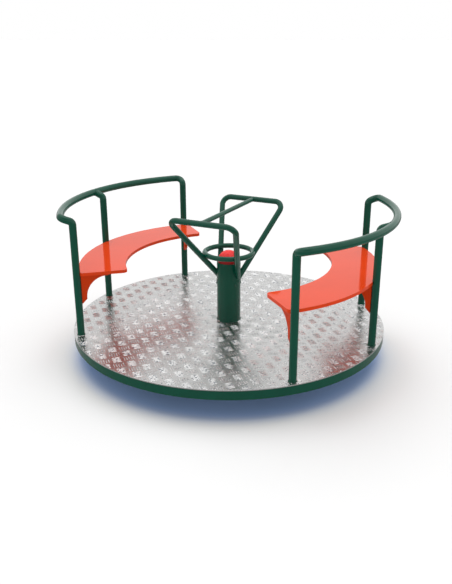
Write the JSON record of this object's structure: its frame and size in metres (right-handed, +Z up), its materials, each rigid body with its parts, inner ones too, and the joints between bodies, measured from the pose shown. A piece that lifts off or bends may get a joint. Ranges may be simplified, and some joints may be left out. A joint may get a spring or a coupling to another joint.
{
  "type": "playground roundabout",
  "caption": "Playground roundabout: a round treadplate deck that spins on a ground spindle, with curved bench seats, tube back rails and a centre column with grab handles.",
  "frame": {"origin": "on the spin axis at ground level, under the centre of the ground flange", "axes": "+Z up along the spin axis, +X through the middle of the first bench, +Y through the middle of a free standing side"},
  "size_m": [1.5694, 1.5, 0.7153],
  "materials": {
    "green_paint": "gloss dark green powder coat",
    "tread_metal": "bright rolled tread plate",
    "orange_board": "gloss orange board",
    "red_cap": "gloss red moulded cap",
    "spindle_steel": "turned steel"
  },
  "bodies": {
    "ground_frame": {"ground_flange": "green_paint", "flange_gusset_1": "green_paint", "flange_gusset_2": "green_paint", "flange_gusset_3": "green_paint", "flange_gusset_4": "green_paint", "spindle": "spindle_steel", "lower_bearing": "spindle_steel", "upper_bearing": "spindle_steel"},
    "platform": {"thrust_plate": "spindle_steel", "rim_ring": "green_paint", "deck_spoke_1": "green_paint", "deck_spoke_2": "green_paint", "deck_spoke_3": "green_paint", "deck_spoke_4": "green_paint", "deck_spoke_5": "green_paint", "deck_spoke_6": "green_paint", "deck_spoke_7": "green_paint", "deck_spoke_8": "green_paint", "tread_plate": "tread_metal", "centre_column": "green_paint", "column_cap": "red_cap", "grab_handle_1": "green_paint", "grab_handle_2": "green_paint", "crossbar": "green_paint", "grip_ring": "green_paint", "bench_a_handrail": "green_paint", "bench_a_post_first": "green_paint", "bench_a_post_middle": "green_paint", "bench_a_post_last": "green_paint", "bench_a_seat": "orange_board", "bench_a_bracket_first": "orange_board", "bench_a_bracket_middle": "orange_board", "bench_a_bracket_last": "orange_board", "bench_b_handrail": "green_paint", "bench_b_post_first": "green_paint", "bench_b_post_middle": "green_paint", "bench_b_post_last": "green_paint", "bench_b_seat": "orange_board", "bench_b_bracket_first": "orange_board", "bench_b_bracket_middle": "orange_board", "bench_b_bracket_last": "orange_board"}
  },
  "joints": [
    {"name": "platform_spin", "type": "hinge", "parent": "ground_frame", "child": "platform", "pos_m": [0, 0, 0.2], "axis": [0, 0, 1], "continuous": true}
  ]
}
